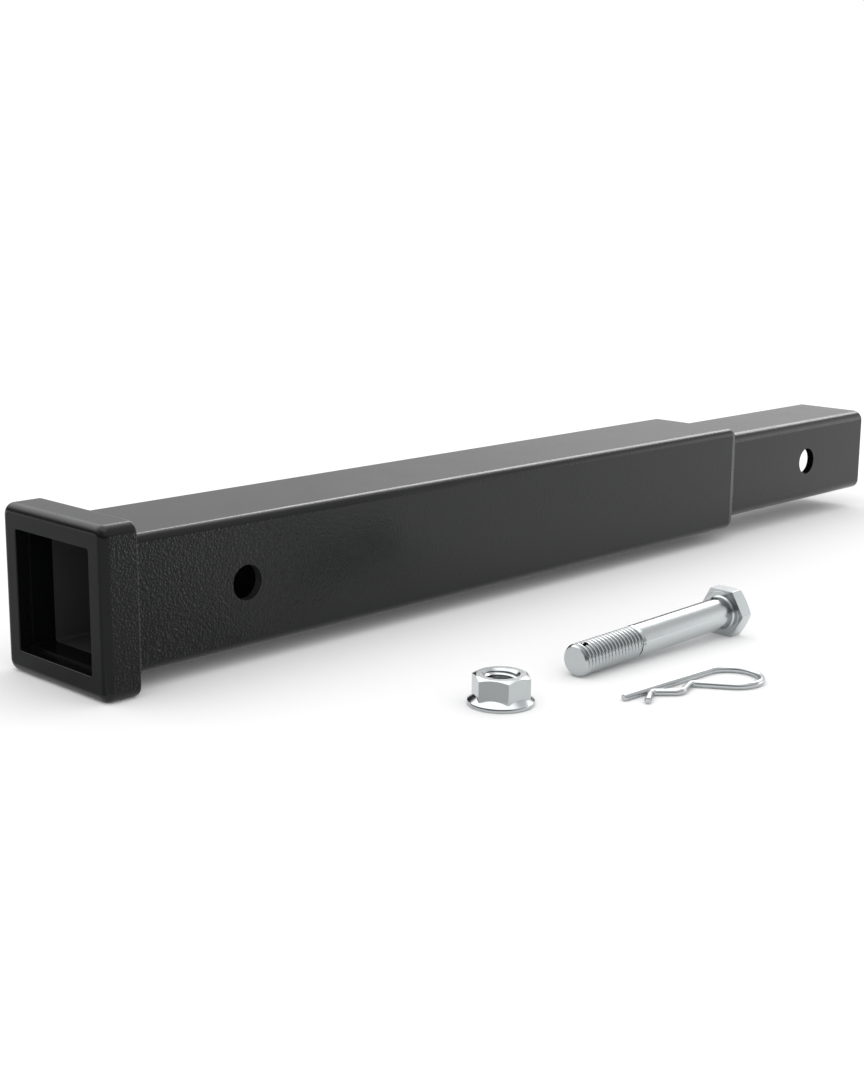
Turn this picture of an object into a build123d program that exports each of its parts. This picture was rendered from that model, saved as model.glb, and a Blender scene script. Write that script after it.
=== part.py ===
from build123d import *
import os
from math import atan, cos, degrees, radians, sin, tan

# Hitch receiver extender, in millimetres.
# The origin is the centre of the shank's pin hole, on the common axis of both tubes.
# +X runs along the shank towards its free end, +Y along the pin hole, +Z up.

# Driving sizes of the 2-inch hitch and its pin
hitch_size = 50.8
slide_clearance = 0.6
pin_hole_diameter = 16.0
hole_edge_chamfer = 0.4
cutter_margin = 1.0
match_tolerance = 0.01

# Driving sizes of the shank
shank_wall = 4.5
shank_corner_radius = 6.0
shank_reach = 149.0
shank_insertion = 75.0
shank_pin_setback = 63.5
shank_end_chamfer = 0.9
shank_bore_chamfer = 0.8

# Driving sizes of the receiver tube
tube_wall = 4.0
tube_corner_radius = 4.5
tube_bore_corner_radius = 1.5
tube_end_to_mouth = 451.0
receiver_pin_setback = 80.5
tube_mouth_chamfer = 1.0
tube_bevel_length = 3.0
tube_bevel_depth = 0.5

# Driving sizes of the collar round the mouth
collar_wall = 7.35
collar_depth = 17.5
collar_corner_radius = 5.5
collar_front_radius = 4.0
collar_back_chamfer = 0.8
collar_lip = 4.5
lip_reveal = 1.0
lip_corner_radius = 1.2
lip_edge_chamfer = 0.4
seat_clearance = 0.15

# Driving sizes of the weld beads
collar_weld_leg = 4.5
shank_weld_leg = 3.6
weld_toe = 0.4
weld_crown = 0.35

# Driving sizes of the hexes that the bolt's head and the nut share
hex_across_flats = 22.2
hex_chamfer_angle = 27.0
hex_top_share = 0.94

# Driving sizes of the hitch bolt
bolt_diameter = 15.0
bolt_length = 103.0
bolt_tip_chamfer = 1.2
bolt_head_height = 8.0
bolt_neck_flare = 0.8
washer_face_height = 0.4
clip_hole_setback = 5.0
clip_hole_clearance = 0.4
clip_hole_tilt = 10.0

# Driving sizes of the flange nut
nut_height = 13.0
nut_bore_diameter = 13.4
nut_countersink = 1.3
flange_diameter = 28.5
flange_rim = 2.2
flange_rim_chamfer = 0.4
flange_cone_angle = 36.0
flange_cone_overlap = 1.5

# Driving sizes of the spring clip, seen from above with its straight leg along X
wire_diameter = 3.0
clip_leg = 57.5
clip_loop_radius = 12.6
clip_loop_turn = 234.0
clip_neck_run = 17.4
clip_belly_from_end = 24.4
clip_belly_depth = 11.2
clip_throat_from_end = 14.7
clip_throat_depth = 2.6
clip_tail_from_end = 4.4
clip_tail_depth = 9.4
clip_neck_radius = 3.2
clip_belly_radius = 5.0
clip_throat_radius = 2.6
wire_end_chamfer = 0.4

# Where the loose fastening set lies: how far behind the mouth's face, how far aside, and its turn about Z
bolt_behind_mouth = 170.1
bolt_aside = 143.4
bolt_turn = -2.1
nut_behind_mouth = 119.9
nut_aside = 145.8
nut_turn = -3.6
clip_behind_mouth = 158.9
clip_aside = 179.4
clip_turn = -2.3

# Sizes and places along X that follow from the driving ones
tube_bore = hitch_size + 2 * slide_clearance
tube_side = tube_bore + 2 * tube_wall
lip_side = tube_bore + 2 * lip_reveal
seat_side = tube_side + 2 * seat_clearance
collar_side = seat_side + 2 * collar_wall
tube_end = shank_pin_setback - shank_reach
shank_inner_end = tube_end - shank_insertion
mouth = tube_end - tube_end_to_mouth
tube_front = mouth + collar_lip
collar_back = mouth + collar_depth
floor = -collar_side / 2
pin_radius = pin_hole_diameter / 2
hex_corner_radius = hex_across_flats / 2 / cos(radians(30))
hex_top_radius = hex_across_flats / 2 * hex_top_share


def square_outline(x, side, radius):
    """Square with rounded corners, across the X axis at x."""
    across = Plane(origin=(x, 0, 0), x_dir=(0, 1, 0), z_dir=(1, 0, 0))
    return across * RectangleRounded(side, side, radius)


def square_bar(x_start, x_end, side, radius):
    """Square bar with rounded corners, along X."""
    return extrude(square_outline(x_start, side, radius), amount=x_end - x_start)


def rim_at(part, x, side):
    """Edges in the plane across X at x that lie within a square of the given side."""
    reach = side / 2 + match_tolerance
    edges = part.edges().filter_by_position(Axis.X, x - match_tolerance, x + match_tolerance)
    return edges.filter_by(lambda edge: fits_in(edge, reach))


def fits_in(edge, reach):
    """True where the whole edge lies within the given reach of the X axis, along Y and Z."""
    box = edge.bounding_box()
    return max(box.max.Y, -box.min.Y, box.max.Z, -box.min.Z) < reach


def with_pin_hole(tube, x, side):
    """The tube drilled through both walls along Y, with the outer rims of the holes eased."""
    drilled = tube - Pos(x, 0, 0) * Rot(90, 0, 0) * Cylinder(pin_radius, side + 2 * cutter_margin)
    circles = drilled.edges().filter_by(GeomType.CIRCLE)
    rims = circles.filter_by(lambda edge: abs(edge.radius - pin_radius) < match_tolerance)
    rims = rims.filter_by(lambda edge: abs(abs(edge.center().Y) - side / 2) < match_tolerance)
    return chamfer(rims, hole_edge_chamfer)


def make_receiver_tube():
    """Square tube that takes the next shank, bevelled outside at its far end."""
    bevel_start = tube_end - tube_bevel_length
    full = square_outline(bevel_start, tube_side, tube_corner_radius)
    end_side = tube_side - 2 * tube_bevel_depth
    dressed = square_outline(tube_end, end_side, tube_corner_radius - tube_bevel_depth)
    tube = square_bar(tube_front, bevel_start, tube_side, tube_corner_radius)
    tube += loft([full, dressed], ruled=True)
    tube -= square_bar(tube_front, tube_end, tube_bore, tube_bore_corner_radius)
    tube = chamfer(rim_at(tube, tube_front, tube_bore), tube_mouth_chamfer)
    return with_pin_hole(tube, mouth + receiver_pin_setback, tube_side)


def make_collar():
    """Ring round the tube's mouth: a lip in front of the tube's end, and a seat for the tube behind it."""
    ring = square_bar(mouth, collar_back, collar_side, collar_corner_radius)
    ring = fillet(rim_at(ring, mouth, collar_side), collar_front_radius)
    ring = chamfer(rim_at(ring, collar_back, collar_side), collar_back_chamfer)
    ring -= square_bar(mouth, tube_front, lip_side, lip_corner_radius)
    ring -= square_bar(tube_front, collar_back, seat_side, tube_corner_radius + seat_clearance)
    return chamfer(rim_at(ring, mouth, lip_side), lip_edge_chamfer)


def make_shank():
    """Square tube that goes into the vehicle's receiver, open at its free end."""
    shank = square_bar(shank_inner_end, shank_pin_setback, hitch_size, shank_corner_radius)
    shank = chamfer(rim_at(shank, shank_pin_setback, hitch_size), shank_end_chamfer)
    bore = hitch_size - 2 * shank_wall
    shank -= square_bar(shank_inner_end, shank_pin_setback, bore, shank_corner_radius - shank_wall)
    shank = chamfer(rim_at(shank, shank_pin_setback, bore), shank_bore_chamfer)
    return with_pin_hole(shank, 0, hitch_size)


def fillet_weld(x, leg, side, radius):
    """Weld bead round a square tube, in the corner between it and the face across X at x."""
    # The bead's section above the axis, with its root in the corner
    surface = side / 2
    face_toe = (x + weld_toe, 0, surface + leg)
    tube_toe = (x + leg, 0, surface + weld_toe)
    crown = (x + (leg + weld_toe) / 2 + weld_crown, 0, surface + (leg + weld_toe) / 2 + weld_crown)
    root = (x, 0, surface)
    tube_edge = (x + leg, 0, surface)
    face_edge = (x, 0, surface + leg)
    section = make_face(Polyline(tube_toe, tube_edge, root, face_edge, face_toe, crown, close=True))
    # One side and one corner, four times round the tube
    flat = side / 2 - radius
    stretch = extrude(Pos(0, -flat, 0) * section, amount=2 * flat, dir=(0, 1, 0))
    corner = revolve(Pos(0, 0, -flat) * section, axis=-Axis.X, revolution_arc=90)
    quarter = stretch + Pos(0, flat, flat) * corner
    bead = quarter
    for turn in (90, 180, 270):
        bead += Rot(turn, 0, 0) * quarter
    return bead


def chamfered_hex(height, base):
    """Hex prism up from z = base to z = height, with the corners of its top turned off."""
    outside = hex_corner_radius + cutter_margin
    hexagon = RegularPolygon(hex_across_flats / 2, 6, major_radius=False)
    prism = Pos(0, 0, base) * extrude(hexagon, height - base)
    fall = (outside - hex_top_radius) * tan(radians(hex_chamfer_angle))
    outline = Polyline(
        (0, 0, base),
        (outside, 0, base),
        (outside, 0, height - fall),
        (hex_top_radius, 0, height),
        (0, 0, height),
        close=True,
    )
    return prism & revolve(make_face(outline), axis=Axis.Z)


def make_bolt():
    """Hex bolt that stands on its tip at the origin, head up, with a hole across its end for the clip."""
    radius = bolt_diameter / 2
    head_start = bolt_length + washer_face_height
    outline = Polyline(
        (0, 0, 0),
        (radius - bolt_tip_chamfer, 0, 0),
        (radius, 0, bolt_tip_chamfer),
        (radius, 0, bolt_length - bolt_neck_flare),
        (radius + bolt_neck_flare, 0, bolt_length),
        (hex_top_radius, 0, bolt_length),
        (hex_top_radius, 0, head_start),
        (0, 0, head_start),
        close=True,
    )
    bolt = revolve(make_face(outline), axis=Axis.Z)
    bolt += Rot(0, 0, 30) * chamfered_hex(bolt_length + bolt_head_height, head_start)
    hole_radius = wire_diameter / 2 + clip_hole_clearance / 2
    hole = Rot(0, 90, 0) * Cylinder(hole_radius, bolt_diameter + 2 * cutter_margin)
    return bolt - Pos(0, 0, clip_hole_setback) * Rot(0, 0, clip_hole_tilt) * hole


def make_nut():
    """Hex nut on a conical flange that stands at the origin, countersunk at both ends."""
    rim = flange_diameter / 2
    cone_radius = hex_across_flats / 2 - flange_cone_overlap
    cone_rise = (rim - cone_radius) * tan(radians(flange_cone_angle))
    outline = Polyline(
        (0, 0, 0),
        (rim - flange_rim_chamfer, 0, 0),
        (rim, 0, flange_rim_chamfer),
        (rim, 0, flange_rim),
        (cone_radius, 0, flange_rim + cone_rise),
        (0, 0, flange_rim + cone_rise),
        close=True,
    )
    flange = revolve(make_face(outline), axis=Axis.Z)
    nut = flange + chamfered_hex(nut_height, flange_rim)
    bore = nut_bore_diameter / 2
    nut -= Pos(0, 0, nut_height / 2) * Cylinder(bore, nut_height)
    mouth_cone = Cone(bore + nut_countersink, bore, nut_countersink)
    nut -= Pos(0, 0, nut_countersink / 2) * mouth_cone
    nut -= Pos(0, 0, nut_height - nut_countersink / 2) * Rot(180, 0, 0) * mouth_cone
    return nut


def make_clip():
    """Spring clip of one bent wire, lying on z = 0 with the end of its straight leg at the origin."""
    height = wire_diameter / 2
    leg = Line((0, 0, height), (clip_leg, 0, height))
    loop = JernArc(leg @ 1, leg % 1, clip_loop_radius, -clip_loop_turn)
    neck = loop @ 1 + (loop % 1) * clip_neck_run
    belly = (clip_belly_from_end, -clip_belly_depth, height)
    throat = (clip_throat_from_end, -clip_throat_depth, height)
    tail = (clip_tail_from_end, -clip_tail_depth, height)
    bends = [clip_neck_radius, clip_belly_radius, clip_throat_radius]
    waves = FilletPolyline(loop @ 1, neck, belly, throat, tail, radius=bends)
    section = Plane(origin=leg @ 0, z_dir=leg % 0) * Circle(wire_diameter / 2)
    clip = sweep(section, path=leg + loop + waves)
    ends = clip.edges().filter_by(GeomType.CIRCLE)
    ends = ends.filter_by(lambda edge: is_at(edge, leg @ 0) or is_at(edge, waves @ 1))
    return chamfer(ends, wire_end_chamfer)


def is_at(edge, point):
    """True where the circle's centre is the given point."""
    return (edge.arc_center - point).length < match_tolerance


def lay_down(bolt):
    """The bolt on its side, resting on one flat of its head and on the first turn at its tip."""
    rise = hex_across_flats / 2 - bolt_diameter / 2
    tilt = atan(rise / (bolt_length + washer_face_height - bolt_tip_chamfer))
    height = bolt_diameter / 2 * cos(tilt) - bolt_tip_chamfer * sin(tilt)
    return Pos(0, 0, height) * Rot(0, 90 - degrees(tilt), 0) * bolt


def put_down(piece, behind_mouth, aside, turn):
    """A loose piece on the floor, at its place beside the tube."""
    return Pos(mouth + behind_mouth, -aside, floor) * Rot(0, 0, turn) * piece


nodes = {
    "receiver_tube": make_receiver_tube(),
    "mouth_collar": make_collar(),
    "shank_tube": make_shank(),
    "collar_weld": fillet_weld(collar_back, collar_weld_leg, tube_side, tube_corner_radius),
    "shank_weld": fillet_weld(tube_end, shank_weld_leg, hitch_size, shank_corner_radius),
    "hitch_bolt": put_down(lay_down(make_bolt()), bolt_behind_mouth, bolt_aside, bolt_turn),
    "flange_nut": put_down(make_nut(), nut_behind_mouth, nut_aside, nut_turn),
    "spring_clip": put_down(make_clip(), clip_behind_mouth, clip_aside, clip_turn),
}

os.makedirs("parts", exist_ok=True)
for name, solid in nodes.items():
    solid.label = name
    export_step(solid, f"parts/{name}.step")
    print(name, "volume", round(solid.volume, 1))
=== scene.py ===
import random
from math import atan, cos, pi, radians, sin, tan

import bmesh
import bpy
from mathutils import Euler, Matrix, Vector


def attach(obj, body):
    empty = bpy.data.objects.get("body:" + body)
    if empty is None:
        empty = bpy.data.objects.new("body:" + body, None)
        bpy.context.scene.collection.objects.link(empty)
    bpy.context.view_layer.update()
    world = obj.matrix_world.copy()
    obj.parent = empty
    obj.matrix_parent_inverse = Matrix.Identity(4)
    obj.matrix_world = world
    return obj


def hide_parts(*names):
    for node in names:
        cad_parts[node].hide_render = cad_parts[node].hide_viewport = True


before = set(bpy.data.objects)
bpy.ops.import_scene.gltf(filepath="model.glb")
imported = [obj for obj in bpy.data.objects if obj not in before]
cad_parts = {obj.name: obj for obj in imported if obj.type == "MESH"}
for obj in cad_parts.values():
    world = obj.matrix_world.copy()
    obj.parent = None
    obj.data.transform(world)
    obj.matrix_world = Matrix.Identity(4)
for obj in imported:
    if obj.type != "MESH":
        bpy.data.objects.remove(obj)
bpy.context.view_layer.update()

# Hitch receiver extender: two square tubes in wrinkle powder coat, with their zinc-plated bolt, nut and
# clip. The frame is the CAD's: +X along the shank to its free end, +Z up. Sizes are in millimetres and
# angles in degrees, unless a note says otherwise.

mm = 0.001
near = 0.02         # how close, in mm, a place has to be to count as the same
weldGap = 0.001     # mm, two vertices closer than this become one
floorLevel = -37.5  # mm, the height of the collar's underside


# Small helpers for working in object and edit mode

def clearSelection():
    if bpy.context.object and bpy.context.object.mode != "OBJECT":
        bpy.ops.object.mode_set(mode="OBJECT")
    bpy.ops.object.select_all(action="DESELECT")


def workOn(piece):
    clearSelection()
    piece.select_set(True)
    bpy.context.view_layer.objects.active = piece


def placeNew(name):
    # names the primitive just added, and moves its place into its mesh
    piece = bpy.context.object
    piece.name = name
    piece.data.name = name
    bpy.ops.object.transform_apply(location=True, rotation=True, scale=True)
    return piece


def middle(part):
    return sum((v.co for v in part.verts), Vector()) / len(part.verts) / mm


def pick(piece, kind, test):
    # enters edit mode with the vertices, edges or faces that pass the test selected
    workOn(piece)
    bpy.ops.object.mode_set(mode="EDIT")
    bpy.ops.mesh.select_mode(type=kind)
    bpy.ops.mesh.select_all(action="DESELECT")
    mesh = bmesh.from_edit_mesh(piece.data)
    parts = {"VERT": mesh.verts, "EDGE": mesh.edges, "FACE": mesh.faces}[kind]
    for part in [part for part in parts if test(part)]:
        part.select_set(True)
    bmesh.update_edit_mesh(piece.data)


def doneEditing():
    bpy.ops.object.mode_set(mode="OBJECT")


def tidyMesh(piece):
    # welds doubles, then turns every face outwards
    workOn(piece)
    bpy.ops.object.mode_set(mode="EDIT")
    bpy.ops.mesh.select_all(action="SELECT")
    bpy.ops.mesh.remove_doubles(threshold=weldGap * mm)
    bpy.ops.mesh.normals_make_consistent(inside=False)
    doneEditing()


def applyModifier(piece, kind, **settings):
    # adds one modifier with its settings and applies it at once
    workOn(piece)
    step = piece.modifiers.new(kind, kind)
    for name, value in settings.items():
        setattr(step, name, value)
    bpy.ops.object.modifier_apply(modifier=step.name)


def combine(piece, tool, action):
    # joins, cuts or trims the piece with the tool, and takes the tool away
    applyModifier(piece, "BOOLEAN", operation=action, object=tool, solver="EXACT")
    bpy.data.objects.remove(tool)


def easeEdges(piece, width, segments, angle=25):
    applyModifier(piece, "BEVEL", width=width * mm, segments=segments, limit_method="ANGLE",
                  angle_limit=radians(angle), miter_outer="MITER_ARC", use_clamp_overlap=True)


def smoothShade(piece, angle=35):
    workOn(piece)
    bpy.ops.object.shade_smooth_by_angle(angle=radians(angle))
    applyModifier(piece, "WEIGHTED_NORMAL", keep_sharp=True, weight=50)


def layOnFloor(piece, place, *moves):
    # moves the piece by the given matrices, sets it down at (x, y, turn), and makes that part of its mesh
    x, y, turn = place
    matrix = (Matrix.Translation((x * mm, y * mm, floorLevel * mm))
              @ Matrix.Rotation(radians(turn), 4, "Z"))
    for move in moves:
        matrix = matrix @ move
    piece.matrix_world = matrix
    workOn(piece)
    bpy.ops.object.transform_apply(location=True, rotation=True, scale=True)


# Camera

cameraSetup = {
    "place": (-916.72, -596.25, 180.86),
    "heading": 45.51,    # from +Y towards +X
    "lookDown": 12.51,
    "roll": 0.51,
    "lens": 56.577,
    "filmHeight": 36.0,
    "reach": 200.0,      # metres
}


def setCamera():
    # stands where the photograph was taken from
    s = cameraSetup
    data = bpy.data.cameras.new("photoCamera")
    camera = bpy.data.objects.new("photoCamera", data)
    bpy.context.scene.collection.objects.link(camera)
    aim = Euler((radians(90 - s["lookDown"]), 0, -radians(s["heading"]))).to_matrix()
    aim = aim @ Matrix.Rotation(radians(s["roll"]), 3, "Z")
    camera.matrix_world = Matrix.Translation(Vector(s["place"]) * mm) @ aim.to_4x4()
    data.sensor_fit = "VERTICAL"
    data.sensor_height = s["filmHeight"]
    data.lens = s["lens"]
    data.clip_end = s["reach"]
    bpy.context.scene.camera = camera


bpy.context.scene.view_settings.view_transform = "Standard"
setCamera()
print("camera set")


# Materials

def hexColour(code):
    # sRGB hex to linear
    levels = [int(code[i:i + 2], 16) / 255 for i in (1, 3, 5)]
    return [c / 12.92 if c <= 0.04045 else ((c + 0.055) / 1.055) ** 2.4 for c in levels] + [1]


def addNode(tree, kind, settings=None, inputs=None):
    # inputs are plain values, or the output socket that feeds the input
    node = tree.nodes.new(kind)
    for name, value in (settings or {}).items():
        setattr(node, name, value)
    for name, value in (inputs or {}).items():
        if isinstance(value, bpy.types.NodeSocket):
            tree.links.new(value, node.inputs[name])
        else:
            node.inputs[name].default_value = value
    return node


def newMaterial(name):
    material = bpy.data.materials.new(name)
    material.use_nodes = True
    material.node_tree.nodes.clear()
    return material


def finishMaterial(material, shader):
    tree = material.node_tree
    addNode(tree, "ShaderNodeOutputMaterial", inputs={"Surface": shader.outputs[0]})
    return material


# sizes of the two tubes and the collar: places along X, sides, and the radii of corners and edges
tubes = {
    "mouth": -536.5, "collarBack": -519.0, "collarSide": 75.0,
    "collarCorner": 5.5, "collarFront": 4.0, "collarBackEdge": 0.95,
    "lipSide": 54.0, "lipCorner": 1.2, "lipEdge": 0.5,
    "seatSide": 60.3, "seatCorner": 4.65,
    "tubeFront": -532.0, "tubeEnd": -85.5, "tubeSide": 60.0, "tubeCorner": 4.5,
    "tubeBore": 52.0, "tubeBoreCorner": 1.5, "tubeHole": -456.0,
    "groundEnd": (3.0, 0.7),   # how far along the tube and how deep its far end is ground
    "groundShade": 11.0,       # smooth shading stops at this angle, so that the ground end stays crisp
    "entryDepth": 2.0, "entrySide": 53.6, "entryEdge": 0.38,  # the step just inside the tube's mouth
    "shankInner": -160.5, "shankEnd": 63.5, "shankSide": 50.8, "shankCorner": 6.0,
    "shankBore": 41.8, "shankBoreCorner": 1.5,
    "holeRadius": 8.0, "holeEdge": 0.4,
    "overshoot": 2.0, "lipOverlap": 1.0, "drillSpare": 6.0,  # how far the cutters reach past what they cut
    "roundSegments": 10, "fineSegments": 4, "edgeSegments": 3, "drillSides": 72,
}


powderCoat = {
    "colour": "#0b0c0d",
    # painted light: the inner walls are painted this lighter grey in place of the light that reaches them
    "paintedLightColour": "#3a3a3b",
    "roughness": 0.23,
    "insideRoughness": 0.6,
    "ior": 1.34,
    "wrinkleSize": 1.15,    # mm across one cell of the wrinkle
    "wrinkleHeight": 0.38,  # mm, drawn deeper than the real 0.05 so that it shows at this distance
    "cellSoftness": 0.35,
    "bendWaves": 0.6, "bendShift": 0.4,     # waves to a cell, and mm, by which the cells are pulled askew
    "flatWrinkle": 0.05,    # share of the wrinkle left on the top, the front and the rounded edges
    "sideFrom": 0.96, "sideTo": 0.998,      # how squarely a wall faces along Y where it starts, and is full
    "fadeFrom": -500.0, "fadeTo": -385.0,   # it flows out between these places along the tube
    "farWrinkle": 0.12,     # share of it left from there on
    "grainSize": 0.5,       # mm, the fine grain that lies under the wrinkle
    "grainHeight": 0.012,   # mm
    "patchScale": 45.0, "patchShine": 0.03,  # patches of about 22 mm, and how far their roughness strays
    "paintedLightDepth": 17.5,    # mm from the mouth or the shank's end to where the painted light on the inner walls begins
    "jointGap": 1.0,        # mm from the tube's end to where the receiver's bore is taken to end
    "boreMargin": 0.2, "holeMargin": 0.25,  # mm round the bores and the pin hole that count as inside
    "holeLightShare": 0.35,       # how far the wall of the receiver's pin hole takes the painted light and the duller roughness
}


def between(tree, value, low, high):
    # 1 where the value lies between low and high, 0 elsewhere
    over = addNode(tree, "ShaderNodeMath", {"operation": "GREATER_THAN"}, {0: value, 1: low})
    under = addNode(tree, "ShaderNodeMath", {"operation": "LESS_THAN"}, {0: value, 1: high})
    return addNode(tree, "ShaderNodeMath", {"operation": "MULTIPLY"},
                   {0: over.outputs[0], 1: under.outputs[0]}).outputs[0]


def insideLightMask(tree, place):
    # 1 on the walls inside the two tubes from the given depth on, where light is painted in as a lighter
    # grey and the coat is duller, and a share of that on the wall of the receiver's pin hole
    s, t = powderCoat, tubes
    split = addNode(tree, "ShaderNodeSeparateXYZ", inputs={"Vector": place})
    joint = t["tubeEnd"] - s["jointGap"]
    wide, narrow = t["tubeBore"] / 2 + s["boreMargin"], t["shankBore"] / 2 + s["boreMargin"]
    hole, deep = t["holeRadius"] + s["holeMargin"], t["tubeSide"] / 2 - t["holeEdge"]
    # where each runs along X, how far it reaches across Y and Z, and its share
    boxes = [(t["mouth"] + s["paintedLightDepth"], joint, wide, wide, 1.0),
             (joint, t["shankEnd"] - s["paintedLightDepth"], narrow, narrow, 1.0),
             (t["tubeHole"] - hole, t["tubeHole"] + hole, deep, hole, s["holeLightShare"])]
    total = None
    for start, end, halfY, halfZ, share in boxes:
        along = between(tree, split.outputs["X"], start * mm, end * mm)
        across = between(tree, split.outputs["Y"], -halfY * mm, halfY * mm)
        upright = between(tree, split.outputs["Z"], -halfZ * mm, halfZ * mm)
        box = addNode(tree, "ShaderNodeMath", {"operation": "MULTIPLY"}, {0: across, 1: upright})
        box = addNode(tree, "ShaderNodeMath", {"operation": "MULTIPLY"}, {0: along, 1: box.outputs[0]})
        box = addNode(tree, "ShaderNodeMath", {"operation": "MULTIPLY"}, {0: box.outputs[0], 1: share})
        if total:
            box = addNode(tree, "ShaderNodeMath", {"operation": "MAXIMUM"},
                          {0: total, 1: box.outputs[0]})
        total = box.outputs[0]
    return total


def outerSides(tree, coordinates):
    # 1 on the outer walls that face along Y, falling to a small share round their edges and elsewhere
    s = powderCoat
    split = addNode(tree, "ShaderNodeSeparateXYZ", inputs={"Vector": coordinates.outputs["Normal"]})
    where = addNode(tree, "ShaderNodeSeparateXYZ", inputs={"Vector": coordinates.outputs["Object"]})
    outwards = addNode(tree, "ShaderNodeMath", {"operation": "SIGN"}, {0: where.outputs["Y"]})
    facing = addNode(tree, "ShaderNodeMath", {"operation": "MULTIPLY"},
                     {0: split.outputs["Y"], 1: outwards.outputs[0]})
    fade = addNode(tree, "ShaderNodeMapRange", {"interpolation_type": "SMOOTHSTEP"},
                   {"Value": where.outputs["X"], "From Min": s["fadeFrom"] * mm,
                    "From Max": s["fadeTo"] * mm, "To Min": 1.0, "To Max": s["farWrinkle"]})
    side = addNode(tree, "ShaderNodeMapRange", {"interpolation_type": "SMOOTHSTEP"},
                   {"Value": facing.outputs[0], "From Min": s["sideFrom"], "From Max": s["sideTo"],
                    "To Min": s["flatWrinkle"], "To Max": fade.outputs[0]})
    return side.outputs[0]


# Black polyester powder, sprayed dry and baked on steel: it shrinks into a fine leathery wrinkle on the
# hanging sides and flows out smoother on the top, the front and the edges, which keep a soft sheen.
# Inside the tubes, past the first stretch, it is duller and painted a lighter grey: painted light for the
# light that reaches in there.
def makePowderCoat():
    s = powderCoat
    material = newMaterial("blackWrinklePowderCoat")
    tree = material.node_tree
    coordinates = addNode(tree, "ShaderNodeTexCoord")
    place = coordinates.outputs["Object"]
    # the mask of the inner walls that get the painted light and the duller roughness
    inside = insideLightMask(tree, place)
    bent = addNode(tree, "ShaderNodeTexNoise", inputs={
        "Vector": place, "Scale": s["bendWaves"] / (s["wrinkleSize"] * mm), "Detail": 2.0,
        "Roughness": 0.5})
    shifted = addNode(tree, "ShaderNodeMixRGB", {"blend_type": "LINEAR_LIGHT"}, {
        "Fac": s["bendShift"] * mm, "Color1": place, "Color2": bent.outputs["Color"]})
    cells = addNode(tree, "ShaderNodeTexVoronoi", {"feature": "SMOOTH_F1"}, {
        "Vector": shifted.outputs[0], "Scale": 1 / (s["wrinkleSize"] * mm),
        "Smoothness": s["cellSoftness"]})
    grain = addNode(tree, "ShaderNodeTexNoise", inputs={
        "Vector": place, "Scale": 1 / (s["grainSize"] * mm), "Detail": 1.5, "Roughness": 0.5})
    patches = addNode(tree, "ShaderNodeTexNoise", inputs={
        "Vector": place, "Scale": s["patchScale"], "Detail": 3.0, "Roughness": 0.6})
    shine = addNode(tree, "ShaderNodeMapRange", inputs={
        "Value": patches.outputs["Fac"], "From Min": 0.35, "From Max": 0.65,
        "To Min": s["roughness"] - s["patchShine"], "To Max": s["roughness"] + s["patchShine"]})
    dull = addNode(tree, "ShaderNodeMix", {"data_type": "FLOAT"},
                   {"Factor": inside, "A": shine.outputs[0], "B": s["insideRoughness"]})
    # painted light: the lighter grey on the inner walls
    tone = addNode(tree, "ShaderNodeMixRGB", inputs={
        "Fac": inside, "Color1": hexColour(s["colour"]), "Color2": hexColour(s["paintedLightColour"])})
    fine = addNode(tree, "ShaderNodeBump", inputs={
        "Height": grain.outputs["Fac"], "Distance": s["grainHeight"] * mm, "Strength": 1.0})
    coarse = addNode(tree, "ShaderNodeBump", inputs={
        "Height": cells.outputs["Distance"], "Distance": s["wrinkleHeight"] * mm,
        "Strength": outerSides(tree, coordinates), "Normal": fine.outputs[0]})
    shader = addNode(tree, "ShaderNodeBsdfPrincipled", inputs={
        "Base Color": tone.outputs[0], "Metallic": 0.0, "IOR": s["ior"], "Roughness": dull.outputs[0],
        "Normal": coarse.outputs[0]})
    return finishMaterial(material, shader)


zincPlate = {
    "colour": "#b0b4b5",
    "roughness": 0.2,
    "cloudScale": 350.0, "cloudShine": (0.015, 0.02),  # clouds of about 3 mm, shinier and duller by this
    "grainSize": 0.8, "grainHeight": 0.0008,           # mm
}


# Bright zinc electroplate with a clear passivate over cold-headed steel: a cool silvery metal whose
# satin reflections waver a little.
def makeZinc():
    s = zincPlate
    material = newMaterial("clearZincPlate")
    tree = material.node_tree
    place = addNode(tree, "ShaderNodeTexCoord").outputs["Object"]
    shinier, duller = s["cloudShine"]
    cloud = addNode(tree, "ShaderNodeTexNoise", inputs={
        "Vector": place, "Scale": s["cloudScale"], "Detail": 3.0, "Roughness": 0.55})
    grain = addNode(tree, "ShaderNodeTexNoise", inputs={
        "Vector": place, "Scale": 1 / (s["grainSize"] * mm), "Detail": 2.0})
    shine = addNode(tree, "ShaderNodeMapRange", inputs={
        "Value": cloud.outputs["Fac"], "From Min": 0.3, "From Max": 0.7,
        "To Min": s["roughness"] - shinier, "To Max": s["roughness"] + duller})
    bump = addNode(tree, "ShaderNodeBump", inputs={
        "Height": grain.outputs["Fac"], "Distance": s["grainHeight"] * mm, "Strength": 1.0})
    shader = addNode(tree, "ShaderNodeBsdfPrincipled", inputs={
        "Base Color": hexColour(s["colour"]), "Metallic": 1.0, "Roughness": shine.outputs[0],
        "Normal": bump.outputs[0]})
    return finishMaterial(material, shader)


coat = makePowderCoat()
zinc = makeZinc()


def dress(piece, material, slot, *nodes):
    # gives the piece its finish and its body, and hides the CAD nodes that it takes the place of
    piece.data.materials.clear()
    piece.data.materials.append(material)
    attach(piece, "root")
    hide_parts(*nodes)


print("materials made")


# Square tubes and the collar

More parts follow.
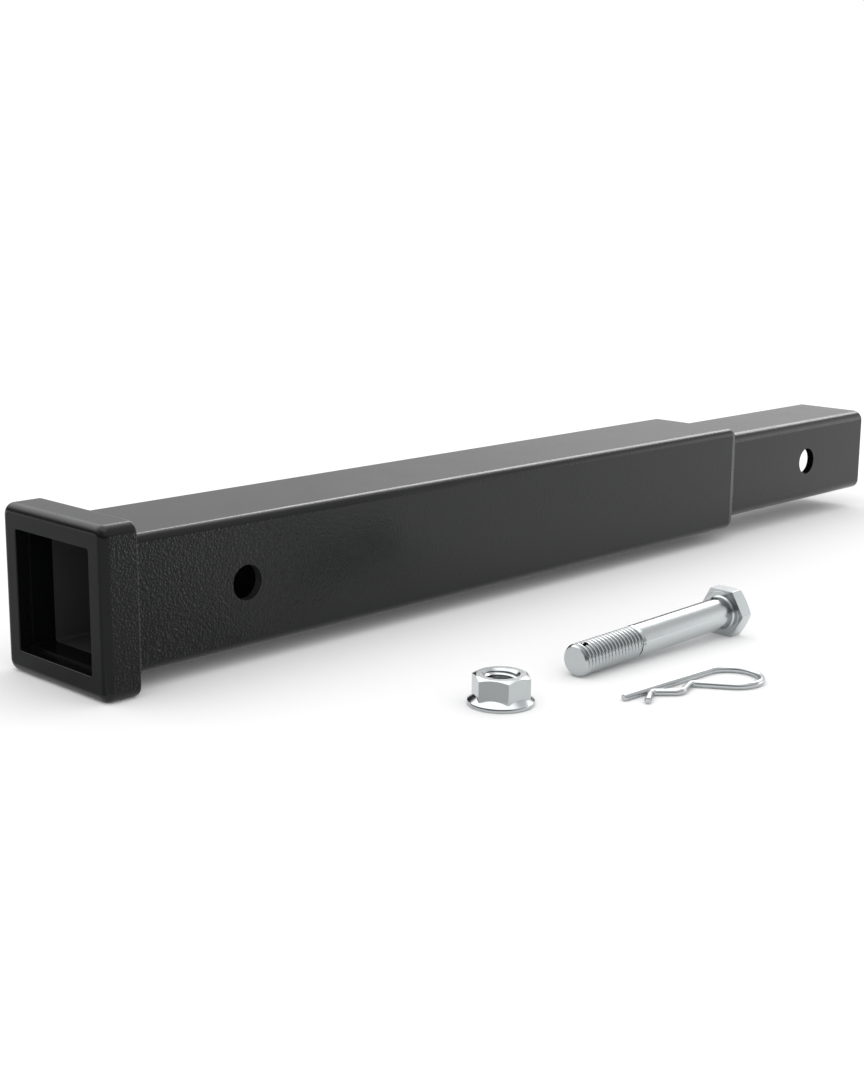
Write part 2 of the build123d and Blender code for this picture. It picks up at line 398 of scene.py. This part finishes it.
def addBar(name, xFrom, xTo, side, corner, segments):
    # square bar along X, its four long edges rounded
    clearSelection()
    bpy.ops.mesh.primitive_cube_add(size=1, location=((xFrom + xTo) / 2 * mm, 0, 0),
                                    scale=((xTo - xFrom) * mm, side * mm, side * mm))
    piece = placeNew(name)
    pick(piece, "EDGE", lambda e: abs(e.verts[0].co.x - e.verts[1].co.x) > near * mm)
    bpy.ops.mesh.bevel(offset=corner * mm, segments=segments, profile=0.5, affect="EDGES")
    doneEditing()
    return piece


def roundRim(piece, x, radius, segments):
    # rounds the edges round the bar's end face at x
    pick(piece, "EDGE", lambda e: all(abs(v.co.x / mm - x) < near for v in e.verts))
    bpy.ops.mesh.bevel(offset=radius * mm, segments=segments, profile=0.5, affect="EDGES")
    doneEditing()


def drill(piece, x, side):
    # the pin's hole across both walls
    s = tubes
    clearSelection()
    bpy.ops.mesh.primitive_cylinder_add(vertices=s["drillSides"], radius=s["holeRadius"] * mm,
                                        depth=(side + s["drillSpare"]) * mm,
                                        location=(x * mm, 0, 0), rotation=(pi / 2, 0, 0))
    combine(piece, placeNew("pinDrill"), "DIFFERENCE")


def makeCollar():
    # a rounded block, cut through for the lip and, behind it, for the tube that sits in it
    s = tubes
    over, n, fine = s["overshoot"], s["roundSegments"], s["fineSegments"]
    ring = addBar("mouthCollar", s["mouth"], s["collarBack"], s["collarSide"], s["collarCorner"], n)
    roundRim(ring, s["mouth"], s["collarFront"], n)
    roundRim(ring, s["collarBack"], s["collarBackEdge"], fine)
    lip = addBar("lipCutter", s["mouth"] - over, s["tubeFront"] + s["lipOverlap"], s["lipSide"],
                 s["lipCorner"], fine)
    combine(ring, lip, "DIFFERENCE")
    seat = addBar("seatCutter", s["tubeFront"], s["collarBack"] + over, s["seatSide"], s["seatCorner"], n)
    combine(ring, seat, "DIFFERENCE")
    easeEdges(ring, s["lipEdge"], s["edgeSegments"])
    smoothShade(ring)
    return ring


def makeReceiver():
    s = tubes
    over, n, fine = s["overshoot"], s["roundSegments"], s["fineSegments"]
    tube = addBar("receiverTube", s["tubeFront"], s["tubeEnd"], s["tubeSide"], s["tubeCorner"], n)
    length, depth = s["groundEnd"]
    # the far end is ground back a little all round
    pick(tube, "FACE", lambda f: abs(middle(f).x - s["tubeEnd"]) < near)
    bpy.ops.transform.translate(value=(-length * mm, 0, 0))
    bpy.ops.mesh.extrude_region_move(TRANSFORM_OT_translate={"value": (length * mm, 0, 0)})
    shrink = 1 - 2 * depth / s["tubeSide"]
    bpy.ops.transform.resize(value=(1, shrink, shrink), center_override=(s["tubeEnd"] * mm, 0, 0))
    doneEditing()
    bore = addBar("boreCutter", s["tubeFront"] - over, s["tubeEnd"] + over, s["tubeBore"],
                  s["tubeBoreCorner"], fine)
    combine(tube, bore, "DIFFERENCE")
    entry = addBar("entryCutter", s["tubeFront"] - over, s["tubeFront"] + s["entryDepth"], s["entrySide"],
                   s["tubeBoreCorner"], fine)
    combine(tube, entry, "DIFFERENCE")
    drill(tube, s["tubeHole"], s["tubeSide"])
    easeEdges(tube, s["entryEdge"], fine)
    smoothShade(tube, s["groundShade"])
    return tube


def makeShank():
    s = tubes
    over, n, fine = s["overshoot"], s["roundSegments"], s["fineSegments"]
    tube = addBar("shankTube", s["shankInner"], s["shankEnd"], s["shankSide"], s["shankCorner"], n)
    bore = addBar("boreCutter", s["shankInner"] - over, s["shankEnd"] + over, s["shankBore"],
                  s["shankBoreCorner"], fine)
    combine(tube, bore, "DIFFERENCE")
    drill(tube, 0, s["shankSide"])
    easeEdges(tube, s["holeEdge"], s["edgeSegments"])
    smoothShade(tube)
    return tube


collar = makeCollar()
dress(collar, coat, "powder_coat", "mouth_collar")
receiver = makeReceiver()
dress(receiver, coat, "powder_coat", "receiver_tube")
shank = makeShank()
dress(shank, coat, "powder_coat", "shank_tube")
print("tubes and collar made")


# Weld beads

welds = {
    "ripplePitch": 2.2,
    "rippleShare": 0.68,  # a ripple's radius, as a share of the bead's leg
    "rippleHalf": 1.85,   # mm, half its length along the seam
    "standOff": 0.28,     # how far its middle stands off the corner, as a share of the leg
    "lean": 18.0,         # each ripple leans this far along the seam
    "seed": 5,
    "unevenness": 0.05,
    "skin": 0.4,          # mm between the points of the fused bead
    "collarSeam": {"x": tubes["collarBack"], "side": tubes["tubeSide"], "corner": tubes["tubeCorner"],
                   "leg": 4.5},
    "shankSeam": {"x": tubes["tubeEnd"], "side": tubes["shankSide"], "corner": tubes["shankCorner"],
                  "leg": 3.6},
}


def addRipple(name, leg):
    # one ripple of the bead: a squashed ball, thin along the seam, as it lies at the top of the seam
    s = welds
    radius = leg * s["rippleShare"] * mm
    clearSelection()
    bpy.ops.mesh.primitive_uv_sphere_add(segments=10, ring_count=6, radius=1,
                                         scale=(radius, s["rippleHalf"] * mm, radius))
    return placeNew(name)


def seamPlaces(side, corner, pitch):
    # places round the seam as (y, z, turn about X), evenly spaced, starting at the middle of the top
    flat = side - 2 * corner
    arc = pi / 2 * corner
    around = 4 * (flat + arc)
    count = round(around / pitch)
    places = []
    for k in range(count):
        run = around * k / count
        quarter, along = divmod(run, flat + arc)
        turn = -quarter * pi / 2
        if along < flat:
            y, z = along - flat / 2, side / 2
        else:
            swing = (along - flat) / corner
            y, z = flat / 2 + corner * sin(swing), flat / 2 + corner * cos(swing)
            turn -= swing
        spin = Matrix.Rotation(-quarter * pi / 2, 2)
        y, z = spin @ Vector((y, z))
        places.append((y, z, turn))
    return places


def makeWeld(name, seam):
    # copies one ripple round the seam, each a little uneven, and fuses them into one skin
    s = welds
    dice = random.Random(s["seed"])
    leg = seam["leg"]
    reach = leg * s["standOff"]
    model = addRipple(name, leg)
    copies = []
    for y, z, turn in seamPlaces(seam["side"], seam["corner"], s["ripplePitch"]):
        workOn(model)
        bpy.ops.object.duplicate()
        ripple = bpy.context.object
        size = 1 + s["unevenness"] * dice.uniform(-1, 1)
        lean = Matrix.Rotation(radians(s["lean"]), 4, "X")
        outwards = Matrix.Rotation(turn, 4, "X")
        ripple.matrix_world = (Matrix.Translation(((seam["x"] + reach) * mm, y * mm, z * mm)) @ outwards
                               @ Matrix.Translation((0, 0, reach * mm)) @ lean @ Matrix.Scale(size, 4))
        copies.append(ripple)
    bpy.data.objects.remove(model)
    clearSelection()
    for ripple in copies:
        ripple.select_set(True)
    bpy.context.view_layer.objects.active = copies[0]
    bpy.ops.object.join()
    bead = placeNew(name)
    applyModifier(bead, "REMESH", mode="VOXEL", voxel_size=s["skin"] * mm, use_smooth_shade=True)
    return bead


collarWeld = makeWeld("collarWeld", welds["collarSeam"])
dress(collarWeld, coat, "powder_coat", "collar_weld")
shankWeld = makeWeld("shankWeld", welds["shankSeam"])
dress(shankWeld, coat, "powder_coat", "shank_weld")
print("weld beads made")


# Bolt and nut

fasteners = {
    "acrossFlats": 22.2, "hexTopShare": 0.94, "hexChamfer": 27.0, "hexEdge": 0.3,
    "boltRadius": 7.5, "boltLength": 103.0, "tipChamfer": 1.2, "headHeight": 8.0, "headTurn": 0.0,
    "neckFlare": 0.8, "neckCurve": 0.2,  # how far the neck under the head widens, in all and at half way
    "neckRun": 1.6,                      # its length, as a multiple of that
    "washerFace": 0.4, "washerEdge": (0.15, 0.12),  # its height, and how its edge is broken
    "headOverlap": 0.5,                  # how far the shaft's own body runs up into the head
    "threadLength": 38.5, "threadPitch": 2.2, "threadDepth": 1.1, "threadRadius": 7.4,
    # one turn from the root over the crest: steps outwards and along, as shares of the depth and the pitch
    "threadProfile": [(0, 0.06), (0.12, 0.06), (0.88, 0.26), (0.06, 0.05), (0, 0.20), (-0.06, 0.05),
                      (-0.88, 0.26), (-0.12, 0.06)],
    "profileReach": 1.06,                # the sum of its steps outwards
    "spareTurns": 2,                     # made past each end, and then cut off
    # the groove behind the last turn, and the cone from it up to the plain shank as (inwards, along)
    "threadRelief": 1.0, "threadOverlap": 0.1, "grooveEnd": 0.55,
    "runOut": [(0.45, -0.5), (0.06, 1.0), (0.0, 1.3)],
    "clipHole": 5.0, "clipHoleRadius": 1.7, "clipHoleTilt": 10.0, "drillLength": 24.0, "drillSides": 32,
    "nutHeight": 13.0, "nutTurn": 30.0, "nutBore": 6.7,
    "nutThreadOut": 0.5, "threadSpare": 3.0,  # how far its thread is cut past the bore, and past both ends
    "countersink": 1.3, "sinkReach": 0.6,     # its width, and how far inside the bore its cone runs on
    "flangeRadius": 14.25, "flangeRim": 2.2, "coneAngle": 36.0, "coneOverlap": 1.5,
    "rimFoot": [(0.7, 0.0), (0.2, 0.2), (0.0, 0.7)],    # (inwards, up) round the rim's lower edge
    "rimTop": [(0.0, -0.9), (0.2, -0.35), (0.7, 0.0)],  # and round its upper edge
    "coneSteps": 6, "coneCurve": (0.82, 0.18),          # the cone steepens a little towards the hex
    "boltPlace": (-366.4, -143.4, -2.1), "nutPlace": (-416.6, -145.8, -3.6),
    "cutterSpare": 1.0, "tipClear": 0.3,                # how far the turning tools stand clear
    "roundSteps": 72, "threadSteps": 48, "shadeAngle": 24.0,
}
# from the axis to a corner of the hex, and to the edge of its turned top
hexCorner = fasteners["acrossFlats"] / 2 / cos(radians(30))
hexTop = fasteners["acrossFlats"] / 2 * fasteners["hexTopShare"]


def addPoint(name, r, z):
    # a single vertex in edit mode, from which an outline is drawn out
    clearSelection()
    bpy.ops.mesh.primitive_plane_add(size=0.1 * mm, location=(r * mm, 0, z * mm))
    piece = placeNew(name)
    bpy.ops.object.mode_set(mode="EDIT")
    bpy.ops.mesh.select_mode(type="VERT")
    bpy.ops.mesh.select_all(action="SELECT")
    bpy.ops.mesh.merge(type="CENTER")
    return piece


def lathe(name, outline, steps):
    # turns an outline of (radius, height) about Z
    r, z = outline[0]
    piece = addPoint(name, r, z)
    for nextR, nextZ in outline[1:]:
        bpy.ops.mesh.extrude_vertices_move(
            TRANSFORM_OT_translate={"value": ((nextR - r) * mm, 0, (nextZ - z) * mm)})
        r, z = nextR, nextZ
    bpy.ops.mesh.select_all(action="SELECT")
    bpy.ops.mesh.spin(steps=steps, angle=2 * pi, center=(0, 0, 0), axis=(0, 0, 1))
    doneEditing()
    tidyMesh(piece)
    return piece


def addHex(name, low, high, turn):
    # hex prism with the corners of its top turned off, its edges a little rounded
    s = fasteners
    clearSelection()
    bpy.ops.mesh.primitive_cylinder_add(vertices=6, radius=hexCorner * mm, depth=(high - low) * mm,
                                        location=(0, 0, (high + low) / 2 * mm),
                                        rotation=(0, 0, radians(turn)))
    prism = placeNew(name)
    pick(prism, "EDGE", lambda e: abs(e.verts[0].co.z - e.verts[1].co.z) > near * mm)
    bpy.ops.mesh.bevel(offset=s["hexEdge"] * mm, segments=3, profile=0.5, affect="EDGES")
    doneEditing()
    outside, below = hexCorner + s["cutterSpare"], low - s["cutterSpare"]
    fall = (outside - hexTop) * tan(radians(s["hexChamfer"]))
    cone = lathe("hexTurner", [(0, below), (outside, below), (outside, high - fall), (hexTop, high),
                               (0, high)], s["roundSteps"])
    combine(prism, cone, "INTERSECT")
    return prism


def threadedRod(name, low, high, outer, chamferTip):
    # a rod with a real helical thread, cut flat at both ends
    s = fasteners
    p, depth = s["threadPitch"], s["threadDepth"]
    rod = addPoint(name, outer - depth, low - s["spareTurns"] * p)
    for across, along in s["threadProfile"]:
        bpy.ops.mesh.extrude_vertices_move(TRANSFORM_OT_translate={
            "value": (across * depth / s["profileReach"] * mm, 0, along * p * mm)})
    doneEditing()
    turns = int((high - low) / p) + 2 * s["spareTurns"] + 1
    applyModifier(rod, "SCREW", axis="Z", angle=2 * pi, screw_offset=p * mm, iterations=turns,
                  steps=s["threadSteps"], render_steps=s["threadSteps"], use_merge_vertices=True,
                  merge_threshold=2 * weldGap * mm)
    for height, clearOuter in ((low, False), (high, True)):
        workOn(rod)
        bpy.ops.object.mode_set(mode="EDIT")
        bpy.ops.mesh.select_all(action="SELECT")
        bpy.ops.mesh.bisect(plane_co=(0, 0, height * mm), plane_no=(0, 0, 1), threshold=weldGap * mm,
                            use_fill=True, clear_outer=clearOuter, clear_inner=not clearOuter)
        doneEditing()
    tidyMesh(rod)
    if chamferTip:
        r, tip, spare, clear = s["boltRadius"], s["tipChamfer"], s["cutterSpare"], s["tipClear"]
        cone = lathe("tipTurner", [(0, low - spare), (r - tip - spare, low - spare), (r - tip, low),
                                   (r + clear, low + tip + clear), (r + clear, high + spare),
                                   (0, high + spare)], s["roundSteps"])
        combine(rod, cone, "INTERSECT")
    return rod


def makeBolt():
    # made upright, tip down
    s = fasteners
    r, length, neck, washer = s["boltRadius"], s["boltLength"], s["neckFlare"], s["washerFace"]
    start, relief = s["threadLength"], s["threadRelief"]
    groove = start - relief - s["threadOverlap"]
    edgeIn, edgeUp = s["washerEdge"]
    top = length + washer + s["headOverlap"]
    outline = [(0, groove), (r - relief, groove), (r - relief, start - s["grooveEnd"])]
    outline += [(r - inwards, start + along) for inwards, along in s["runOut"]]
    outline += [(r, length - neck * s["neckRun"]), (r + s["neckCurve"], length - neck * s["neckRun"] / 2),
                (r + neck, length), (hexTop - edgeIn, length), (hexTop, length + edgeUp), (hexTop, top),
                (0, top)]
    shaft = lathe("hitchBolt", outline, s["roundSteps"])
    head = addHex("boltHead", length + washer, length + s["headHeight"], s["headTurn"])
    combine(shaft, head, "UNION")
    thread = threadedRod("boltThread", 0, start - relief, s["threadRadius"], True)
    combine(shaft, thread, "UNION")
    clearSelection()
    bpy.ops.mesh.primitive_cylinder_add(vertices=s["drillSides"], radius=s["clipHoleRadius"] * mm,
                                        depth=s["drillLength"] * mm, location=(0, 0, s["clipHole"] * mm),
                                        rotation=(0, pi / 2, radians(s["clipHoleTilt"])))
    combine(shaft, placeNew("clipDrill"), "DIFFERENCE")
    smoothShade(shaft, s["shadeAngle"])
    # laid on its side: the head on a flat, the tip's first turn on the floor
    rise = s["acrossFlats"] / 2 - r
    tilt = atan(rise / (length + washer - s["tipChamfer"]))
    height = r * cos(tilt) - s["tipChamfer"] * sin(tilt)
    layOnFloor(shaft, s["boltPlace"], Matrix.Translation((0, 0, height * mm)),
               Matrix.Rotation(pi / 2 - tilt, 4, "Y"))
    return shaft


def makeNut():
    s = fasteners
    rim, low, high = s["flangeRadius"], s["flangeRim"], s["nutHeight"]
    # the flange: a rounded rim, and a cone that runs up into the hex
    inset = s["rimTop"][-1][0]
    cone = s["acrossFlats"] / 2 - s["coneOverlap"]
    rise = (rim - cone) * tan(radians(s["coneAngle"]))
    straight, curve = s["coneCurve"]
    outline = [(0, 0)]
    outline += [(rim - inwards, up) for inwards, up in s["rimFoot"]]
    outline += [(rim - inwards, low + up) for inwards, up in s["rimTop"]]
    for k in range(1, s["coneSteps"] + 1):
        t = k / s["coneSteps"]
        climb = straight * t + curve * t * t
        outline.append((rim - inset + (cone - rim + inset) * t, low + rise * climb))
    outline.append((0, low + rise))
    nut = lathe("flangeNut", outline, s["roundSteps"])
    body = addHex("nutHex", low, high, s["nutTurn"])
    combine(nut, body, "UNION")
    # its threaded bore, countersunk at both ends
    bore, sink, spare, reach = s["nutBore"], s["countersink"], s["cutterSpare"], s["sinkReach"]
    thread = threadedRod("nutThread", -s["threadSpare"], high + s["threadSpare"],
                         bore + s["nutThreadOut"], False)
    combine(nut, thread, "DIFFERENCE")
    wide, thin = bore + sink + spare, bore - reach
    for outlineEnd in ([(0, -spare), (wide, -spare), (thin, sink + reach), (0, sink + reach)],
                       [(0, high + spare), (wide, high + spare), (thin, high - sink - reach),
                        (0, high - sink - reach)]):
        combine(nut, lathe("sinkTurner", outlineEnd, s["roundSteps"]), "DIFFERENCE")
    smoothShade(nut, s["shadeAngle"])
    layOnFloor(nut, s["nutPlace"])
    return nut


bolt = makeBolt()
dress(bolt, zinc, "zinc_plate", "hitch_bolt")
nut = makeNut()
dress(nut, zinc, "zinc_plate", "flange_nut")
print("bolt and nut made")


# Spring clip

clipSizes = {
    "wire": 1.5, "wireSides": 20, "leg": 57.5, "loopRadius": 12.6, "loopTurn": 234.0, "neckRun": 17.4,
    "belly": (24.4, -11.2), "throat": (14.7, -2.6), "tail": (4.4, -9.4),  # seen from above, leg along X
    "bends": (3.2, 5.0, 2.6),                # radii at the neck, the belly and the throat
    "bendStep": 6.0, "fewestSteps": 6,       # how finely each bend is made
    "endEdge": 0.4, "edgeSegments": 3, "edgeAngle": 60.0, "shadeAngle": 40.0,
    "place": (-377.6, -179.4, -2.3),
}


def clipRoute():
    # the wire as straight runs and bends: (length, None) or (angle, radius), from the straight leg's end
    s = clipSizes
    r, heading = s["loopRadius"], -radians(s["loopTurn"])
    steps = [(s["leg"], None), (heading, r)]
    here = Vector((s["leg"] + r * sin(-heading), -r + r * cos(heading)))
    corners = [here + Vector((cos(heading), sin(heading))) * s["neckRun"], Vector(s["belly"]),
               Vector(s["throat"]), Vector(s["tail"])]
    spare = 0
    for k, corner in enumerate(corners):
        run = (corner - here).length - spare
        if k == len(corners) - 1:
            steps.append((run, None))
            break
        into = (corner - here).normalized()
        out = (corners[k + 1] - corner).normalized()
        angle = -into.angle_signed(out)
        spare = s["bends"][k] * tan(abs(angle) / 2)
        steps.append((run - spare, None))
        steps.append((angle, s["bends"][k]))
        here = corner
    return steps


def makeClip():
    # draws a ring of points out along the wire's runs and spins it round its bends
    s = clipSizes
    clearSelection()
    bpy.ops.mesh.primitive_circle_add(vertices=s["wireSides"], radius=s["wire"] * mm, fill_type="NOTHING",
                                      location=(0, 0, s["wire"] * mm), rotation=(0, pi / 2, 0))
    wire = placeNew("springClip")
    bpy.ops.object.mode_set(mode="EDIT")
    bpy.ops.mesh.select_mode(type="EDGE")
    bpy.ops.mesh.select_all(action="SELECT")
    here, heading = Vector((0, 0)), 0.0
    for amount, radius in clipRoute():
        ahead = Vector((cos(heading), sin(heading)))
        if radius is None:
            bpy.ops.mesh.extrude_edges_move(
                TRANSFORM_OT_translate={"value": (ahead.x * amount * mm, ahead.y * amount * mm, 0)})
            here = here + ahead * amount
        else:
            side = 1 if amount > 0 else -1
            centre = here + Vector((-ahead.y, ahead.x)) * radius * side
            steps = max(s["fewestSteps"], round(abs(amount) / radians(s["bendStep"])))
            bpy.ops.mesh.spin(steps=steps, angle=-amount, center=(centre.x * mm, centre.y * mm, 0),
                              axis=(0, 0, 1))
            here = centre + Matrix.Rotation(amount, 2) @ (here - centre)
            heading += amount
    doneEditing()
    finishWire(wire)
    return wire


def finishWire(wire):
    # caps both ends of the wire, breaks their edges and lays the clip down
    s = clipSizes
    workOn(wire)
    bpy.ops.object.mode_set(mode="EDIT")
    bpy.ops.mesh.select_all(action="SELECT")
    bpy.ops.mesh.remove_doubles(threshold=weldGap * mm)
    bpy.ops.mesh.fill_holes(sides=s["wireSides"] + 2)
    bpy.ops.mesh.normals_make_consistent(inside=False)
    doneEditing()
    easeEdges(wire, s["endEdge"], s["edgeSegments"], s["edgeAngle"])
    workOn(wire)
    bpy.ops.object.shade_smooth_by_angle(angle=radians(s["shadeAngle"]))
    layOnFloor(wire, s["place"])


clip = makeClip()
dress(clip, zinc, "zinc_plate", "spring_clip")
print("clip made")


# Floor and light

studio = {
    "floorSize": 8000.0, "floorColour": "#fafafa", "floorGlow": 0.04,
    # painted light: the floor's tone in the gloss rises along X, brighter towards the shank's end
    "riseFrom": -375.0, "riseTo": -160.0, "glossNear": 1.06, "glossFar": 1.28,
    "roomLevel": 1.13,  # even light from all round
    # what glossy surfaces see of the room, as radiance
    "darkEnd": 0.15, "backdrop": 0.60, "brightEnd": 0.87, "brightFront": 3.2,
    "highFront": 0.9, "highBack": 2.6, "highLeft": 0.45, "zenith": 2.5,
    "stripAzimuth": 25.0, "stripHeight": 33.0, "stripTarget": (-250.0, -30.0, 0.0),
    "stripDistance": 20.0, "stripSize": (14.0, 5.0),  # metres
    "stripPower": 1080.0,
    # grey cards on the floor left of the mouth and on the camera's side, seen only in the gloss: a painted
    # reflection, darker than the floor
    "cardLift": 0.3,
    "mouthCard": {"from": (-1100.0, -40.0), "to": (-541.0, 480.0), "colour": "#b6b6b6"},
    "cameraCard": {"from": (-1500.0, -1000.0), "to": (-434.0, -46.0), "colour": "#d9d9d9"},
}


def makeFloor():
    s = studio
    clearSelection()
    bpy.ops.mesh.primitive_plane_add(size=s["floorSize"] * mm, location=(0, 0, floorLevel * mm))
    floor = placeNew("studioFloor")
    material = newMaterial("whiteSweep")
    tree = material.node_tree
    seen = addNode(tree, "ShaderNodeLightPath")
    # a faint glow that the camera, the gloss and clear parts see, and that lights nothing
    direct = addNode(tree, "ShaderNodeMath", {"operation": "MAXIMUM"},
                     {0: seen.outputs["Is Camera Ray"], 1: seen.outputs["Is Glossy Ray"]})
    shown = addNode(tree, "ShaderNodeMath", {"operation": "MAXIMUM"},
                    {0: direct.outputs[0], 1: seen.outputs["Is Transmission Ray"]})
    glow = addNode(tree, "ShaderNodeMath", {"operation": "MULTIPLY"},
                   {0: shown.outputs[0], 1: s["floorGlow"]})
    split = addNode(tree, "ShaderNodeSeparateXYZ",
                    inputs={"Vector": addNode(tree, "ShaderNodeTexCoord").outputs["Object"]})
    # painted light: the gloss sees the floor brighter along X
    rise = addNode(tree, "ShaderNodeMapRange", {"interpolation_type": "SMOOTHSTEP"}, {
        "Value": split.outputs["X"], "From Min": s["riseFrom"] * mm, "From Max": s["riseTo"] * mm,
        "To Min": s["glossNear"], "To Max": s["glossFar"]})
    tone = addNode(tree, "ShaderNodeMixRGB", inputs={
        "Fac": seen.outputs["Is Glossy Ray"], "Color1": hexColour(s["floorColour"]),
        "Color2": rise.outputs[0]})
    matte = addNode(tree, "ShaderNodeBsdfDiffuse", inputs={"Color": tone.outputs[0]})
    lit = addNode(tree, "ShaderNodeEmission", inputs={"Color": (1, 1, 1, 1), "Strength": glow.outputs[0]})
    both = addNode(tree, "ShaderNodeAddShader", inputs={0: matte.outputs[0], 1: lit.outputs[0]})
    finishMaterial(material, both)
    floor.data.materials.append(material)


def makeCard(name):
    # lies just above the floor, is mirrored by the coat and the plating as a darker painted reflection of
    # the floor, and casts no shadow
    s = studio
    (x0, y0), (x1, y1) = s[name]["from"], s[name]["to"]
    clearSelection()
    bpy.ops.mesh.primitive_plane_add(size=1, location=((x0 + x1) / 2 * mm, (y0 + y1) / 2 * mm,
                                                       (floorLevel + s["cardLift"]) * mm))
    bpy.ops.transform.resize(value=((x1 - x0) * mm, (y1 - y0) * mm, 1))
    card = placeNew(name)
    for kind in ("camera", "diffuse", "transmission", "volume_scatter", "shadow"):
        setattr(card, "visible_" + kind, False)
    material = newMaterial(name + "Board")
    matte = addNode(material.node_tree, "ShaderNodeBsdfDiffuse",
                    inputs={"Color": hexColour(s[name]["colour"])})
    card.data.materials.append(finishMaterial(material, matte))


def makeWorld():
    # white to the camera and even to the light; only the gloss sees a room, dark at the mouth's end and
    # brighter towards the shank, behind the part and overhead
    s = studio
    world = bpy.data.worlds.new("softStudio")
    world.use_nodes = True
    bpy.context.scene.world = world
    tree = world.node_tree
    tree.nodes.clear()
    seen = addNode(tree, "ShaderNodeLightPath")
    direction = addNode(tree, "ShaderNodeTexCoord").outputs["Generated"]
    split = addNode(tree, "ShaderNodeSeparateXYZ", inputs={"Vector": direction})
    # low down: from the mouth's end to the middle, and then past the shank's end
    mid = addNode(tree, "ShaderNodeMapRange", {"interpolation_type": "SMOOTHSTEP"},
                  {"Value": split.outputs["X"], "From Min": -0.5, "From Max": 0.45,
                   "To Min": s["darkEnd"], "To Max": s["backdrop"]})
    end = addNode(tree, "ShaderNodeMapRange", {"interpolation_type": "SMOOTHSTEP"},
                  {"Value": split.outputs["Y"], "From Min": -0.6, "From Max": 0.1,
                   "To Min": s["brightFront"], "To Max": s["brightEnd"]})
    low = addNode(tree, "ShaderNodeMapRange", {"interpolation_type": "SMOOTHSTEP"},
                  {"Value": split.outputs["X"], "From Min": 0.65, "From Max": 0.88,
                   "To Min": mid.outputs[0], "To Max": end.outputs[0]})
    # higher up: brighter at the back, dimmer at the left
    high = addNode(tree, "ShaderNodeMapRange", {"interpolation_type": "SMOOTHSTEP"},
                   {"Value": split.outputs["Y"], "From Min": -0.2, "From Max": 0.6,
                    "To Min": s["highFront"], "To Max": s["highBack"]})
    left = addNode(tree, "ShaderNodeMapRange", {"interpolation_type": "SMOOTHSTEP"},
                   {"Value": split.outputs["X"], "From Min": -0.75, "From Max": -0.3,
                    "To Min": s["highLeft"], "To Max": 1.0})
    above = addNode(tree, "ShaderNodeMath", {"operation": "MULTIPLY"},
                    {0: high.outputs[0], 1: left.outputs[0]})
    # the low part, the high part and the zenith run into each other
    middleHigh = addNode(tree, "ShaderNodeMapRange", {"interpolation_type": "SMOOTHSTEP"},
                         {"Value": split.outputs["Z"], "From Min": 0.2, "From Max": 0.6,
                          "To Min": low.outputs[0], "To Max": above.outputs[0]})
    level = addNode(tree, "ShaderNodeMapRange", {"interpolation_type": "SMOOTHSTEP"},
                    {"Value": split.outputs["Z"], "From Min": 0.8, "From Max": 0.96,
                     "To Min": middleHigh.outputs[0], "To Max": s["zenith"]})
    glossy = addNode(tree, "ShaderNodeMix", {"data_type": "FLOAT"},
                     {"Factor": seen.outputs["Is Glossy Ray"], "A": s["roomLevel"], "B": level.outputs[0]})
    shown = addNode(tree, "ShaderNodeMix", {"data_type": "FLOAT"},
                    {"Factor": seen.outputs["Is Camera Ray"], "A": glossy.outputs[0], "B": 1.0})
    light = addNode(tree, "ShaderNodeBackground", inputs={
        "Color": (1, 1, 1, 1), "Strength": shown.outputs[0]})
    addNode(tree, "ShaderNodeOutputWorld", inputs={"Surface": light.outputs[0]})


def makeStrip():
    # wide softbox high beyond the shank's end, seen only in the gloss: the bright line along the rounded
    # edges
    s = studio
    data = bpy.data.lights.new("stripSoftbox", "AREA")
    lamp = bpy.data.objects.new("stripSoftbox", data)
    bpy.context.scene.collection.objects.link(lamp)
    side, up = radians(s["stripAzimuth"]), radians(s["stripHeight"])
    towards = Vector((cos(up) * cos(side), cos(up) * sin(side), sin(up)))
    lamp.location = Vector(s["stripTarget"]) * mm + towards * s["stripDistance"]
    lamp.rotation_euler = (-towards).to_track_quat("-Z", "Y").to_euler()
    data.shape = "RECTANGLE"
    data.size, data.size_y = s["stripSize"]
    data.energy = s["stripPower"]
    lamp.visible_diffuse = False


makeFloor()
makeCard("mouthCard")
makeCard("cameraCard")
makeWorld()
makeStrip()
print("floor and light made")
